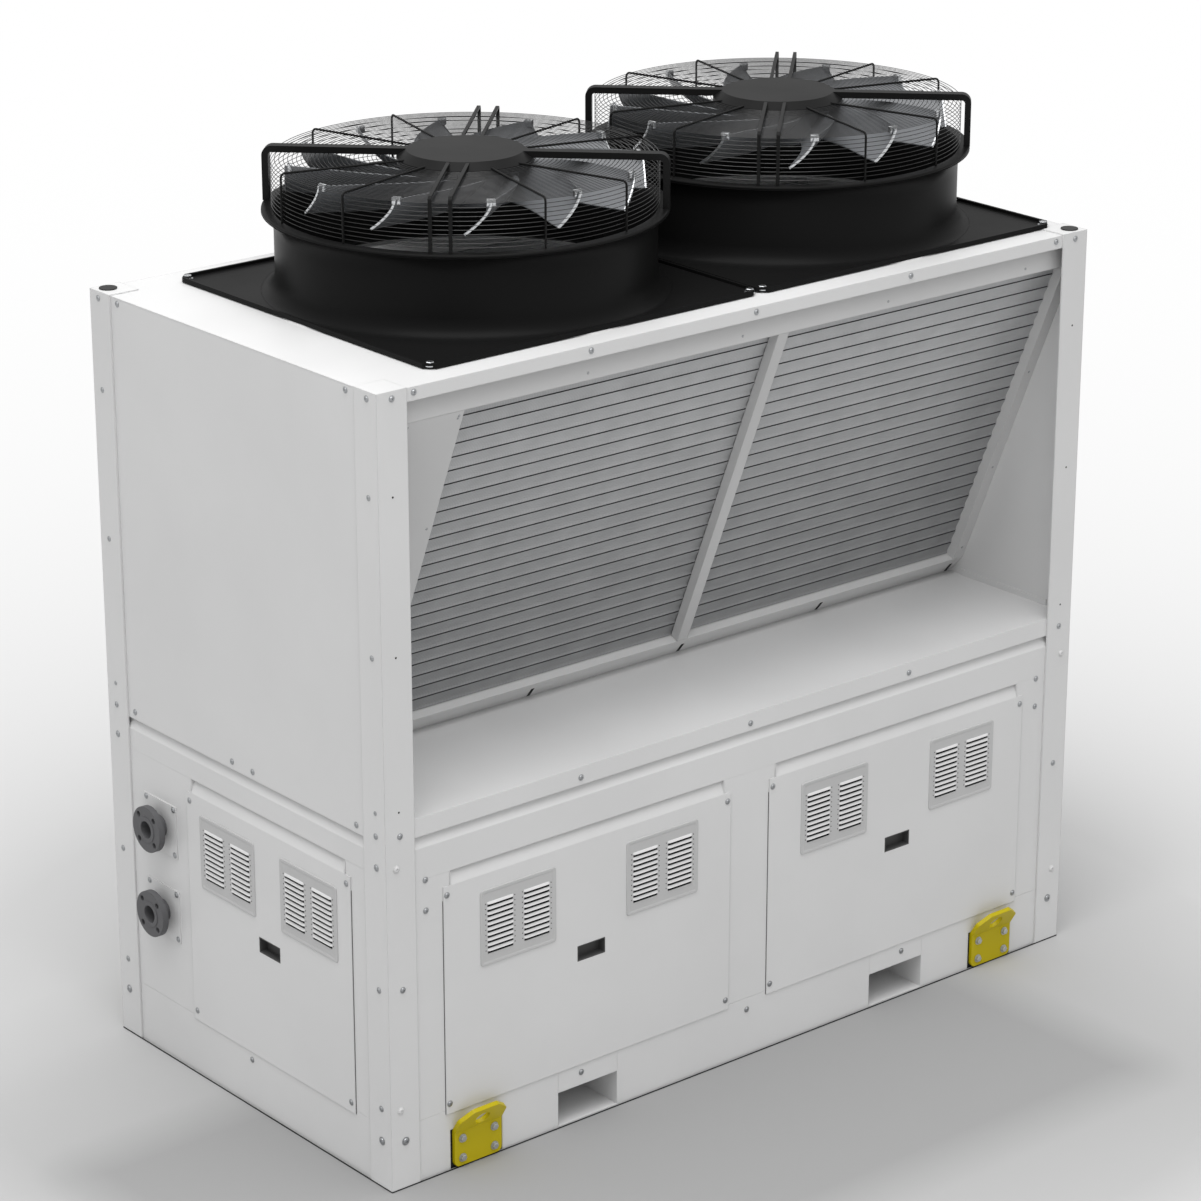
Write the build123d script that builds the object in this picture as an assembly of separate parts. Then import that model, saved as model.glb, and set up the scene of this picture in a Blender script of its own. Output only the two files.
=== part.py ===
from build123d import *
import os
from math import cos, sin, radians

# Casing of the heat pump, in millimetres. The origin is the middle of the
# footprint on the floor, X runs along the front, the front faces -Y.
casing_length = 2400.0
casing_depth = 1225.0
casing_height = 2100.0
belt_top = 995.0
sheet = 4.0
seam = 0.3

# Corner posts: folded angles that stand proud of every panel
post_width = 90.0
post_wall = 5.0
plug_radius = 23.5
plug_height = 3.0
plug_inset = 34.0

# Planes that the pieces share
half_length = casing_length / 2
half_depth = casing_depth / 2
face_x = half_length - post_wall
face_y = half_depth - post_wall
inner_x = face_x - sheet
inner_y = face_y - sheet

# Base with two tunnels for the forks of a truck
base_height = 170.0
fork_width = 200.0
fork_height = 96.0
fork_floor = 4.0
fork_spacing = half_length - 88.0

# Lower walls and the belt at half height
belt_height = 50.0
belt_foot = belt_top - belt_height
belt_return = 28.0
band_height = 32.0
band_foot = belt_foot - band_height
band_setback = 15.0

# Access panels, screwed over the openings of the lower walls
panel_raise = 3.0
panel_foot = base_height - 10.0
front_panel_top = band_foot - 123.0
front_panel_near = 68.0
front_panel_far = half_length - 177.0
end_panel_top = band_foot - 95.0
end_panel_front = 152.5 - half_depth
end_panel_back = half_depth - 350.5
bevel_height = 38.0
bevel_inset = 22.0
bevel_depth = 13.0

# Louvred vents
vent_width = 245.0
vent_height = 209.0
vent_plate = 2.0
vent_lap = 12.0
slot_width = 84.0
slot_gap = 5.0
slot_pitch = 14.3
slot_count = 10
column_offset = 59.0
louvre_reach = 5.0
louvre_rise = 8.5
front_vent_near = front_panel_near + 238.0
front_vent_far = front_panel_far - 237.0
front_vent_height = front_panel_top - 148.0
end_vent_front = end_panel_front + 180.0
end_vent_back = end_panel_back - 184.0
end_vent_height = end_panel_top - 153.0

# Recessed pulls
pull_width = 92.0
pull_height = 43.0
pull_depth = 26.0
pull_wall = 2.5
front_pull_place = (front_vent_near + front_vent_far) / 2
front_pull_height = front_panel_top - 311.0
end_pull_place = (end_vent_front + end_vent_back) / 2
end_pull_height = end_panel_top - 329.0

# Deck and its turned-down edge
deck_step = 3.0
deck_edge = 35.0
deck_top = casing_height - deck_step
deck_under = deck_top - sheet
seal_width = 8.0

# Coils, leaning outwards in a V
lean = 22.2
frame_edge_z = belt_top + 55.0
frame_top_z = deck_top - 99.0
frame_length = (frame_top_z - frame_edge_z) / cos(radians(lean))
frame_edge_y = half_depth - 33.2 - frame_length * sin(radians(lean))
coil_inset = 28.0
coil_thick = 66.0
coil_rows = 24
groove = 5.0
groove_deep = 6.0
coil_left = 287.0 - half_length
coil_right = half_length - 47.0
bar_width = 36.0
bar_left = (coil_left + coil_right) / 2 - 16.0
rail_foot_y = frame_edge_y - 52.4
tray_drop = 40.0
upstand_height = 18.0
upstand_front = face_y - 77.5
upstand_back = frame_edge_y - 2.4

# Fans
fan_spacing = half_length - 130.0
fan_middle = half_length - 47.0 - fan_spacing
fan_centres = [fan_middle - fan_spacing / 2, fan_middle + fan_spacing / 2]
plate_side = fan_spacing - 4.0
plate_corner = 24.0
plate_rim = 12.0
rim_width = 7.0
bell_wall = 4.0
bell_foot_radius = plate_side / 2 - 7.0
bell_radius = bell_foot_radius - 36.0
bell_foot_rise = 55.0
bell_height = 221.0
flare_start = 162.0
flare_steps = 3
lip_radius = bell_radius + 31.0
lip_width = 28.0
lip_thick = 9.0

# Wire guard over each fan
guard_height = 127.0
guard_radius = bell_radius + 8.0
wire = 6.0
ring_count = 5
side_ring_count = 1
ring_sides = 30
arm_height = 142.0
arm_width = 32.0
arm_thick = 17.0
arm_bend = 26.0
strap_width = 9.0
strap_thick = 5.0
strap_bend = 12.0
strap_spacing = 50.0
hub_radius = 175.0
hub_face_radius = 150.0
hub_rise = 18.0
hub_drop = 14.0
shaft_radius = 20.0

# Rotor
rotor_radius = bell_radius - 30.0
rotor_hub_radius = 140.0
rotor_clear = 7.0
blade_count = 12
blade_rise = 82.0
blade_sweep = 8.4
blade_thick = 4.0
blade_phase = 0.0
shaft_fit = 0.08

# Water connections on the left end
pipe_radius = 30.0
pipe_bore = 24.0
flange_radius = 63.5
flange_thick = 17.5
flange_reach = 48.0
raised_radius = 36.5
raised_face = 1.6
bolt_circle = 98.4
bolt_hole = 15.9
pipe_place = half_depth - 223.5
pipe_high = end_vent_height + 11.0
pipe_low = pipe_high - 244.0
cover_side = 150.0
cover_thick = 3.0

# Lifting lugs bolted to the base
lug_place = half_length - 274.0
lug_width = 152.0
lug_foot = 5.0
lug_height = 99.0
lug_thick = 12.0
lug_lean = 31.0
lug_side = 47.0
lug_tongue = 77.0
lug_top = 76.0
lug_eye = 45.0
lug_corner = 15.0
notch_gap = 8.0


def block(x0, x1, y0, y1, z0, z1):
    middle = ((x0 + x1) / 2, (y0 + y1) / 2, (z0 + z1) / 2)
    return Pos(*middle) * Box(x1 - x0, y1 - y0, z1 - z0)


def rod(radius, x, y, z0, z1):
    return Pos(x, y, (z0 + z1) / 2) * Cylinder(radius, z1 - z0)


def along_x(points, x0, x1):
    # A closed outline in (y, z), carried from x0 to x1
    outline = Polyline([Vector(x0, y, z) for y, z in points], close=True)
    return extrude(make_face(outline), amount=x1 - x0, dir=(1, 0, 0))


def along_y(points, y0, y1):
    # A closed outline in (x, z), carried from y0 to y1
    outline = Polyline([Vector(x, y0, z) for x, z in points], close=True)
    return extrude(make_face(outline), amount=y1 - y0, dir=(0, 1, 0))


def to_back(piece):
    return mirror(piece, about=Plane.XZ)


def to_right(piece):
    return mirror(piece, about=Plane.YZ)


def to_left_end(piece):
    # A piece made for the front, turned to face -X with its face on the end wall
    return Pos(face_y - face_x, 0, 0) * Rot(0, 0, -90) * piece


def save(piece, name):
    piece.label = name
    export_step(piece, "parts/" + name + ".step")


def base_frame():
    # Three solid lengths, with a shallow recess in the face for each lifting lug
    near = (fork_spacing - fork_width) / 2
    far = (fork_spacing + fork_width) / 2
    lengths = [(-face_x, -far), (-near, near), (far, face_x)]
    body = [block(x0, x1, -face_y, face_y, 0, base_height) for x0, x1 in lengths]
    half = lug_width / 2 + notch_gap
    top = lug_foot + lug_height + notch_gap
    for index, side in ((0, -1), (2, 1)):
        x = side * lug_place
        body[index] -= block(x - half, x + half, -half_depth, -inner_y, -1, top)
        body[index] -= block(x - half, x + half, inner_y, half_depth, -1, top)
    return Compound(children=body)


def fork_pockets():
    # Floor and roof of each tunnel, between the lengths of the base
    body = []
    for side in (-1, 1):
        x0 = (side * fork_spacing - fork_width) / 2
        x1 = x0 + fork_width
        body.append(block(x0, x1, -face_y, face_y, 0, fork_floor))
        body.append(block(x0, x1, -face_y, face_y, fork_floor + fork_height, base_height))
    return Compound(children=body)


def corner_post():
    # Front left post: two legs of an angle and a closed top
    left = -half_length
    front = -half_depth
    body = block(left, left + post_width, front, front + post_width, 0, casing_height)
    body -= block(left + post_wall, 0, front + post_wall, 0, -1, casing_height - post_wall)
    return body


def post_plugs():
    # Flat plugs in the tops of two opposite posts
    x = half_length - plug_inset
    y = half_depth - plug_inset
    top = casing_height + plug_height
    plugs = [rod(plug_radius, side * x, -side * y, casing_height, top) for side in (-1, 1)]
    return Compound(children=plugs)


def vent_windows(places, height):
    half_w = vent_width / 2 - vent_lap
    half_h = vent_height / 2 - vent_lap
    return [(place - half_w, place + half_w, height - half_h, height + half_h)
            for place in places]


def pull_window(place, height):
    half_w = pull_width / 2 + seam
    half_h = pull_height / 2 + seam
    return (place - half_w, place + half_w, height - half_h, height + half_h)


def front_windows(side):
    places = [side * front_vent_near, side * front_vent_far]
    pull = pull_window(side * front_pull_place, front_pull_height)
    return vent_windows(places, front_vent_height) + [pull]


def end_windows():
    # Along the end, a place to the back of the casing is negative once turned
    places = [-end_vent_front, -end_vent_back]
    pull = pull_window(-end_pull_place, end_pull_height)
    return vent_windows(places, end_vent_height) + [pull]


def cut_windows(piece, windows):
    for left, right, foot, top in windows:
        piece -= block(left, right, -half_depth, -inner_y, foot, top)
    return piece


def strip(x0, x1, z0, z1):
    return block(x0, x1, -face_y, -inner_y, z0, z1)


def header(half_width, foot):
    # Top of a lower wall, its edge leaning inwards under the belt
    points = [(-face_y, foot), (-face_y, band_foot), (-face_y + band_setback, belt_foot),
              (-inner_y + band_setback, belt_foot), (-inner_y, band_foot), (-inner_y, foot)]
    return along_x(points, -half_width, half_width)


def front_wall():
    # Frame of strips round the two openings that the access panels close
    top = front_panel_top + bevel_height
    near = front_panel_near + bevel_inset - seam
    far = front_panel_far - bevel_inset + seam
    edge = inner_x - band_setback - seam
    body = [header(edge, top), strip(-near, near, base_height, top),
            strip(-edge, -far, base_height, top), strip(far, edge, base_height, top)]
    return Compound(children=body)


def left_wall():
    # Seen from that end, the back of the casing is on the left
    top = end_panel_top + bevel_height
    left = -end_panel_back + bevel_inset - seam
    right = -end_panel_front - bevel_inset + seam
    pipe_strip = strip(-inner_y, left, base_height, top)
    for height in (pipe_low, pipe_high):
        hole = Pos(-pipe_place, -face_y, height) * Rot(90, 0, 0)
        pipe_strip -= hole * Cylinder(pipe_radius + seam, 6 * sheet)
    body = [header(inner_y, top), pipe_strip, strip(right, inner_y, base_height, top)]
    return to_left_end(Compound(children=body))


def right_wall():
    return to_right(to_left_end(header(inner_y, base_height)))


def access_panel(left, right, top, windows):
    # Raised cover with a bevel that dips through the wall above it
    front = -face_y - panel_raise
    cover = block(left, right, front, -face_y, panel_foot, top)
    x0 = left + bevel_inset
    x1 = right - bevel_inset
    deep = front + bevel_depth
    bevel = [(front, top), (deep, top + bevel_height), (deep + panel_raise, top + bevel_height),
             (-face_y, top)]
    cover += along_x(bevel, x0, x1)
    cheek = [(front, top), (deep, top + bevel_height), (-face_y, top + bevel_height)]
    cover += along_x(cheek, x0, x0 + panel_raise)
    cover += along_x(cheek, x1 - panel_raise, x1)
    return cut_windows(cover, windows)


def front_panel(side):
    near = side * front_panel_near
    far = side * front_panel_far
    return access_panel(min(near, far), max(near, far), front_panel_top, front_windows(side))


def end_panel():
    panel = access_panel(-end_panel_back, -end_panel_front, end_panel_top, end_windows())
    return to_left_end(panel)


def vent(place, height):
    # Frame with two columns of slots, each under a small hood that sheds rain
    front = -face_y - panel_raise
    face = front - vent_plate
    left = place - vent_width / 2
    foot = height - vent_height / 2
    body = block(left, left + vent_width, face, front, foot, foot + vent_height)
    for side in (-1, 1):
        x0 = place + side * column_offset - slot_width / 2
        x1 = x0 + slot_width
        for row in range(slot_count):
            z = height + (row - (slot_count - 1) / 2) * slot_pitch
            body -= block(x0, x1, face - 1, front + 1, z - slot_gap / 2, z + slot_gap / 2)
            lip = z + slot_gap / 2
            hood = [(face, lip), (face - louvre_reach, lip - 1), (face, lip + louvre_rise)]
            body += along_x(hood, x0, x1)
    return body


def front_vents():
    places = [side * x for side in (-1, 1) for x in (front_vent_near, front_vent_far)]
    return Compound(children=[vent(x, front_vent_height) for x in places])


def end_vents():
    places = [-end_vent_front, -end_vent_back]
    vents = [to_left_end(vent(x, end_vent_height)) for x in places]
    return Compound(children=vents)


def pull(place, height):
    # Open-fronted cup set into the panel
    front = -face_y - panel_raise
    left = place - pull_width / 2
    foot = height - pull_height / 2
    cup = block(left, left + pull_width, front, front + pull_depth, foot, foot + pull_height)
    cup -= block(left + pull_wall, left + pull_width - pull_wall, front - 1,
                 front + pull_depth - pull_wall, foot + pull_wall,
                 foot + pull_height - pull_wall)
    return cup


def front_pulls():
    places = (-front_pull_place, front_pull_place)
    return Compound(children=[pull(x, front_pull_height) for x in places])


def end_pull():
    return to_left_end(pull(-end_pull_place, end_pull_height))


def on_frame(across, up):
    # A point in (y, z): up along the lean from the lower edge, across inwards
    tilt = radians(lean)
    y = -frame_edge_y - up * sin(tilt) + across * cos(tilt)
    z = frame_edge_z + up * cos(tilt) + across * sin(tilt)
    return (y, z)


frame_deep = coil_inset + coil_thick
rail_back = -on_frame(frame_deep, 0)[0]


def slanted(across0, across1, up0, up1, x0, x1):
    points = [on_frame(across0, up0), on_frame(across1, up0),
              on_frame(across1, up1), on_frame(across0, up1)]
    return along_x(points, x0, x1)


def shelf():
    # Belt, shelf and the edge of the drain, folded from one sheet, and two end angles
    points = [(-face_y, belt_foot), (-face_y, belt_top), (-rail_back, belt_top),
              (-rail_back, belt_top - tray_drop), (-rail_back - sheet, belt_top - tray_drop),
              (-rail_back - sheet, belt_top - sheet), (-inner_y, belt_top - sheet),
              (-inner_y, belt_foot + sheet), (-face_y + belt_return, belt_foot + sheet),
              (-face_y + belt_return, belt_foot)]
    body = [along_x(points, -inner_x, inner_x)]
    top = belt_top + upstand_height
    for x in (-inner_x, inner_x - sheet):
        body.append(block(x, x + sheet, -upstand_front, -upstand_back, belt_top, top))
    return Compound(children=body)


def drain_tray():
    foot = belt_top - tray_drop - sheet
    edge = rail_back + sheet
    return block(-inner_x, inner_x, -edge, edge, foot, foot + sheet)


def end_wall():
    # Upper wall of the left end, folded inwards over the lower one
    wall = block(-face_x, -inner_x, -face_y, face_y, belt_foot, deck_under)
    edge = face_y - belt_return
    return wall + block(-face_x, -face_x + belt_return, -edge, edge, belt_foot, belt_foot + sheet)


def coil():
    # Rows of fins, each with a groove below it
    pitch = frame_length / coil_rows
    face = [on_frame(coil_inset, 0)]
    for row in range(1, coil_rows):
        up = row * pitch
        face += [on_frame(coil_inset, up - groove), on_frame(coil_inset + groove_deep, up - groove / 2),
                 on_frame(coil_inset, up)]
    face += [on_frame(coil_inset, frame_length), on_frame(frame_deep, frame_length),
             on_frame(frame_deep, 0)]
    return along_x(face, coil_left, coil_right)


def coil_cheeks():
    # Wide blank on the left of the coil, narrow end plate on its right
    blank = slanted(0, frame_deep, 0, frame_length, -inner_x, coil_left)
    end = slanted(0, frame_deep, 0, frame_length, coil_right, inner_x)
    return Compound(children=[blank, end])


def coil_bar():
    return slanted(0, coil_inset, 0, frame_length, bar_left, bar_left + bar_width)


def coil_rail():
    # Ledge under the coil, with a front that leans back to the shelf
    points = [on_frame(0, 0), on_frame(frame_deep, 0), (-rail_back, belt_top),
              (-rail_foot_y, belt_top)]
    return along_x(points, -inner_x, inner_x)


def coil_head():
    # Strip from the top of the coil to the underside of the deck
    front = on_frame(0, frame_length)
    back = on_frame(frame_deep, frame_length)
    points = [front, (front[0], deck_under), (back[0], deck_under), back]
    return along_x(points, -inner_x, inner_x)


def deck():
    body = block(-face_x, face_x, -face_y, face_y, deck_under, deck_top)
    low = deck_top - deck_edge
    body += block(-inner_x, inner_x, -face_y, -inner_y, low, deck_under)
    body += block(-inner_x, inner_x, inner_y, face_y, low, deck_under)
    for centre in fan_centres:
        body += rod(bell_foot_radius + seal_width, centre, 0, deck_under, casing_height)
    for centre in fan_centres:
        body -= rod(bell_foot_radius - bell_wall, centre, 0, deck_under - 1, casing_height + 1)
    size = 2 * (post_width + seam)
    for x in (-half_length, half_length):
        for y in (-half_depth, half_depth):
            body -= Pos(x, y, casing_height) * Box(size, size, 2 * post_wall)
    return body


def flare(steps):
    # Cosine and sine at even steps of a quarter turn, for a flare of elliptic section
    angles = [radians(90 * step / steps) for step in range(steps + 1)]
    return [(cos(angle), sin(angle)) for angle in angles]


def fan_bell():
    # Nozzle: flared foot, straight throat and a rolled lip, in (x, z), turned about the axis
    spread = bell_foot_radius - bell_radius
    inner = bell_radius - bell_wall
    under = bell_height - lip_thick
    outside = [(bell_foot_radius - spread * c, bell_wall + (bell_foot_rise - bell_wall) * (1 - s))
               for c, s in reversed(flare(flare_steps))]
    outside += [(lip_radius - (lip_radius - bell_radius) * c, flare_start + (under - flare_start) * s)
                for c, s in flare(flare_steps)]
    rim = [(lip_radius, bell_height), (lip_radius - lip_width, bell_height), (inner, under)]
    inside = [(bell_foot_radius - (spread + bell_wall) * c, bell_foot_rise * (1 - s))
              for c, s in flare(flare_steps)]
    points = [Vector(x, 0, z) for x, z in outside + rim + inside]
    return revolve(make_face(Polyline(points, close=True)), Axis.Z)


def fan_plate():
    # Square plate with a raised rim, centred on the fan axis
    square = chamfer(Rectangle(plate_side, plate_side).vertices(), plate_corner)
    inside = offset(square, -rim_width)
    body = extrude(square, plate_rim)
    body -= Pos(0, 0, bell_wall) * extrude(inside, plate_rim)
    return body - rod(bell_foot_radius + seam, 0, 0, -1, plate_rim)


def bent_strap(reach, top, thick, width, bend, start):
    # Flat bar that runs out from the hub and turns down to the lip
    foot = bell_height
    points = [(start, top), (reach, top), (reach, foot), (reach - thick, foot),
              (reach - thick, top - thick), (start, top - thick)]
    bar = along_y(points, -width / 2, width / 2)
    edges = bar.edges().filter_by(Axis.Y)
    outer = edges.sort_by(lambda e: -(e.center().X + e.center().Z))[0]
    bar = fillet(outer, bend)
    edges = bar.edges().filter_by(Axis.Y)
    near = Vector(reach - thick, 0, top - thick)
    inner = edges.sort_by(lambda e: (e.center() - near).length)[0]
    return fillet(inner, bend - thick)


def motor_support():
    # Hub plate of the guard, four straps to the lip and the fixed motor shaft
    top = bell_height + arm_height
    rim_foot = top - hub_rise - hub_drop
    points = [(0, rim_foot), (hub_radius, rim_foot), (hub_radius, rim_foot + hub_drop),
              (hub_face_radius, top), (0, top)]
    outline = Polyline([Vector(x, 0, z) for x, z in points], close=True)
    body = revolve(make_face(outline), Axis.Z)
    for turn in (135, -45):
        arm = bent_strap(lip_radius, top, arm_thick, arm_width, arm_bend, hub_face_radius - 10)
        body += Rot(0, 0, turn) * arm
    reach = guard_radius + wire / 2 + strap_thick
    for turn in (45, -135):
        for side in (-1, 1):
            strap = bent_strap(reach, top - 1, strap_thick, strap_width, strap_bend,
                               hub_face_radius - 10)
            body += Rot(0, 0, turn) * Pos(0, side * strap_spacing / 2, 0) * strap
    shaft_foot = rotor_foot - shaft_fit
    body += rod(shaft_radius, 0, 0, shaft_foot, rim_foot)
    return body


def wire_ring(radius, level, thick):
    outer = RegularPolygon(radius + thick / 2, ring_sides)
    inner = RegularPolygon(radius - thick / 2, ring_sides)
    return Pos(0, 0, level - thick) * extrude(outer - inner, thick)


def guard_top(support):
    # Flat rings on eight radial rods, cut where they meet the flat arms
    level = bell_height + guard_height
    body = None
    for turn in range(-165, 180, 30):
        if turn % 90 != 45:
            rod_bar = block(hub_radius - 12, guard_radius, -wire / 2, wire / 2,
                            level - wire / 2, level + wire / 2)
            piece = Rot(0, 0, turn) * rod_bar
            body = piece if body is None else body + piece
    for index in range(ring_count):
        first = hub_radius + wire
        radius = first + (guard_radius - first) * index / (ring_count - 1)
        body += wire_ring(radius, level + wire / 2, wire)
    return body - support


def guard_side():
    # Legs of the rods and the rings round them
    level = bell_height + guard_height - wire / 2
    body = None
    for turn in range(-165, 180, 30):
        if turn % 90 != 45:
            leg = block(guard_radius - wire / 2, guard_radius + wire / 2, -wire / 2, wire / 2,
                        bell_height, level)
            piece = Rot(0, 0, turn) * leg
            body = piece if body is None else body + piece
    for index in range(side_ring_count):
        height = bell_height + guard_height * (index + 1) / (side_ring_count + 1)
        body += wire_ring(guard_radius, height, wire)
    return body


guard_under = bell_height + guard_height - wire / 2
rotor_top = bell_height + arm_height - hub_rise - hub_drop - rotor_clear
blade_top = guard_under - rotor_clear
rotor_foot = blade_top - blade_rise - 18


def blade_section(radius, turn_top, turn_foot, z_top, z_foot, thick):
    # Cut through a blade at one radius, as a thin quadrilateral
    top = Vector(radius, 0, 0).rotate(Axis.Z, turn_top)
    foot = Vector(radius, 0, 0).rotate(Axis.Z, turn_foot)
    high = Vector(top.X, top.Y, z_top)
    low = Vector(foot.X, foot.Y, z_foot)
    chord = (low - high).normalized()
    out = Vector(top.X + foot.X, top.Y + foot.Y, 0).normalized()
    side = chord.cross(out).normalized() * (thick / 2)
    return make_face(Polyline([high + side, low + side, low - side, high - side], close=True))


def blade():
    root_radius = rotor_hub_radius - 6
    mid_radius = (root_radius + rotor_radius) / 2
    tip = blade_section(rotor_radius, 0, -blade_sweep, blade_top, blade_top - blade_rise,
                        blade_thick)
    mid = blade_section(mid_radius, 17, -1, blade_top - 2, blade_top - blade_rise - 6,
                        blade_thick)
    root = blade_section(root_radius, 46, 14, rotor_top - 8, rotor_foot + 8, blade_thick)
    return loft([root, mid, tip], ruled=True)


def rotor():
    body = rod(rotor_hub_radius, 0, 0, rotor_foot, rotor_top)
    for index in range(blade_count):
        body += Rot(0, 0, blade_phase + index * 360 / blade_count) * blade()
    body -= rod(shaft_radius + shaft_fit, 0, 0, rotor_foot - 1, rotor_top + 1)
    return body


def water_flange(height):
    # Pipe end with a loose-hole flange, its bore open right through
    face = -face_x - flange_reach
    back = face + flange_thick
    inside = -inner_x + 2 * post_width
    turn = Pos(0, pipe_place, height) * Rot(0, 90, 0)
    body = turn * Pos(0, 0, (face + back) / 2) * Cylinder(flange_radius, flange_thick)
    body += turn * Pos(0, 0, (back + inside) / 2) * Cylinder(pipe_radius, inside - back)
    body += turn * Pos(0, 0, face) * Cylinder(raised_radius, 2 * raised_face)
    body -= turn * Pos(0, 0, (face + inside) / 2) * Cylinder(pipe_bore, 2 * (inside - face))
    for index in range(4):
        spot = Rot(0, 0, 45 + 90 * index) * Pos(bolt_circle / 2, 0, 0)
        body -= turn * Pos(0, 0, face) * spot * Cylinder(bolt_hole / 2, 4 * flange_thick)
    return body


def pipe_cover(height):
    # Square plate that closes the wall round a pipe
    left = -face_x - cover_thick
    half = cover_side / 2
    plate = block(left, -face_x, pipe_place - half, pipe_place + half, height - half, height + half)
    hole = Pos(left, pipe_place, height) * Rot(0, 90, 0) * Cylinder(pipe_radius + seam, 6 * sheet)
    return plate - hole


def pipe_covers():
    return Compound(children=[pipe_cover(height) for height in (pipe_low, pipe_high)])


def lifting_lug():
    # Plate bolted to the base, with a tongue that leans out to take a shackle
    half = lug_width / 2
    plate = Rectangle(lug_width, lug_height)
    lower = plate.vertices().group_by(Axis.Y)[0]
    plate = fillet(lower, lug_corner)
    plate = extrude(plate, lug_thick)
    plate = Pos(0, -inner_y, lug_foot + lug_height / 2) * Rot(90, 0, 0) * plate
    points = [(-half, 0), (half, 0), (half, lug_side), (lug_top / 2, lug_tongue),
              (-lug_top / 2, lug_tongue), (-half, lug_side)]
    tongue = make_face(Polyline([Vector(x, y, 0) for x, y in points], close=True))
    upper = tongue.vertices().sort_by(Axis.Y)[2:]
    tongue = fillet(upper, lug_corner)
    tongue -= Pos(0, lug_tongue / 2 - 2) * Circle(lug_eye / 2)
    tongue = extrude(tongue, lug_thick)
    hinge = Pos(0, -inner_y, lug_foot + lug_height) * Rot(90 + lug_lean, 0, 0)
    joined = plate + hinge * tongue
    return joined


def place_lugs():
    lug = lifting_lug()
    for side, name in ((-1, "left"), (1, "right")):
        front = Pos(side * lug_place, 0, 0) * lug
        save(front, "lifting_lug_front_" + name)
        save(to_back(front), "lifting_lug_back_" + name)


def place_posts():
    post = corner_post()
    save(post, "post_front_left")
    save(to_right(post), "post_front_right")
    save(to_back(post), "post_back_left")
    save(to_back(to_right(post)), "post_back_right")
    save(post_plugs(), "post_plugs")


def place_lower_walls():
    save(front_wall(), "wall_front")
    save(to_back(front_wall()), "wall_back")
    save(left_wall(), "wall_left")
    save(right_wall(), "wall_right")
    for side, name in ((-1, "left"), (1, "right")):
        save(front_panel(side), "panel_front_" + name)
        save(to_back(front_panel(side)), "panel_back_" + name)
    save(end_panel(), "panel_end")
    save(front_vents(), "vents_front")
    save(to_back(front_vents()), "vents_back")
    save(end_vents(), "vents_end")
    save(front_pulls(), "pulls_front")
    save(to_back(front_pulls()), "pulls_back")
    save(end_pull(), "pull_end")


def place_coils():
    pieces = {"shelf": shelf(), "coil": coil(), "coil_cheeks": coil_cheeks(),
              "coil_bar": coil_bar(), "coil_rail": coil_rail(), "coil_head": coil_head()}
    for name, piece in pieces.items():
        save(piece, name + "_front")
        save(to_back(piece), name + "_back")
    save(drain_tray(), "drain_tray")


def place_fans():
    support = motor_support()
    pieces = {"fan_plate": fan_plate(), "fan_bell": fan_bell(), "motor_support": support,
              "guard_top": guard_top(support), "guard_side": guard_side(), "rotor": rotor()}
    for index, centre in enumerate(fan_centres):
        for name, piece in pieces.items():
            side = ("left", "right")[index]
            save(Pos(centre, 0, casing_height) * piece, name + "_" + side)


def build():
    os.makedirs("parts", exist_ok=True)
    save(base_frame(), "base_frame")
    save(fork_pockets(), "fork_pockets")
    place_posts()
    place_lower_walls()
    save(end_wall(), "end_wall_left")
    save(to_right(end_wall()), "end_wall_right")
    place_coils()
    save(deck(), "deck")
    place_fans()
    save(water_flange(pipe_low), "water_flange_low")
    save(water_flange(pipe_high), "water_flange_high")
    save(pipe_covers(), "pipe_covers")
    place_lugs()


build()
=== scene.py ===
import math

import bmesh
import bpy
import numpy as np
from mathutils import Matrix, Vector


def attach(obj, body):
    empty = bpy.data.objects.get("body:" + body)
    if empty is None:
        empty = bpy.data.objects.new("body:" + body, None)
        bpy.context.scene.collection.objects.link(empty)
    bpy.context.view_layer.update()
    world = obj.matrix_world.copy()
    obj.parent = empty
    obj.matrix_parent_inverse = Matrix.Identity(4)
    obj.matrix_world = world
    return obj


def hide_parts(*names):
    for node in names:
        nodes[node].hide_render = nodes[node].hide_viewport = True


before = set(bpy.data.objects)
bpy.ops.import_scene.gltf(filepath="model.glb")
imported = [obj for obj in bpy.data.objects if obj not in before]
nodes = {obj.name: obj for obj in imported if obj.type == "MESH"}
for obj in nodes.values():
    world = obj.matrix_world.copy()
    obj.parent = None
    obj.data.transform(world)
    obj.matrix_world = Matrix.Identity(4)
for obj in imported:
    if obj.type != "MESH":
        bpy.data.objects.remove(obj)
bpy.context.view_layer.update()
print("frame loaded,", len(nodes), "nodes")

# Outside sizes of the unit in metres; the panels stand panelStep out of the walls
casing = {"length": 2.4, "depth": 1.225, "height": 2.1, "postWall": 0.005,
          "panelStep": 0.003}
halfLength = casing["length"] / 2
halfDepth = casing["depth"] / 2
faceX = halfLength - casing["postWall"]  # plane of the end panels
faceY = halfDepth - casing["postWall"]  # plane of the front panels
fans = {"left": -0.452, "right": 0.618}  # x of each fan axis, y is 0
fanBase = casing["height"]


def linear(hexText):
    # sRGB hex to linear: p / 12.92 when dark, else ((p + 0.055) / 1.055) ^ 2.4
    parts = [int(hexText[i:i + 2], 16) / 255 for i in (1, 3, 5)]
    bent = [p / 12.92 if p <= 0.04045 else ((p + 0.055) / 1.055) ** 2.4 for p in parts]
    return (*bent, 1.0)


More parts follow.
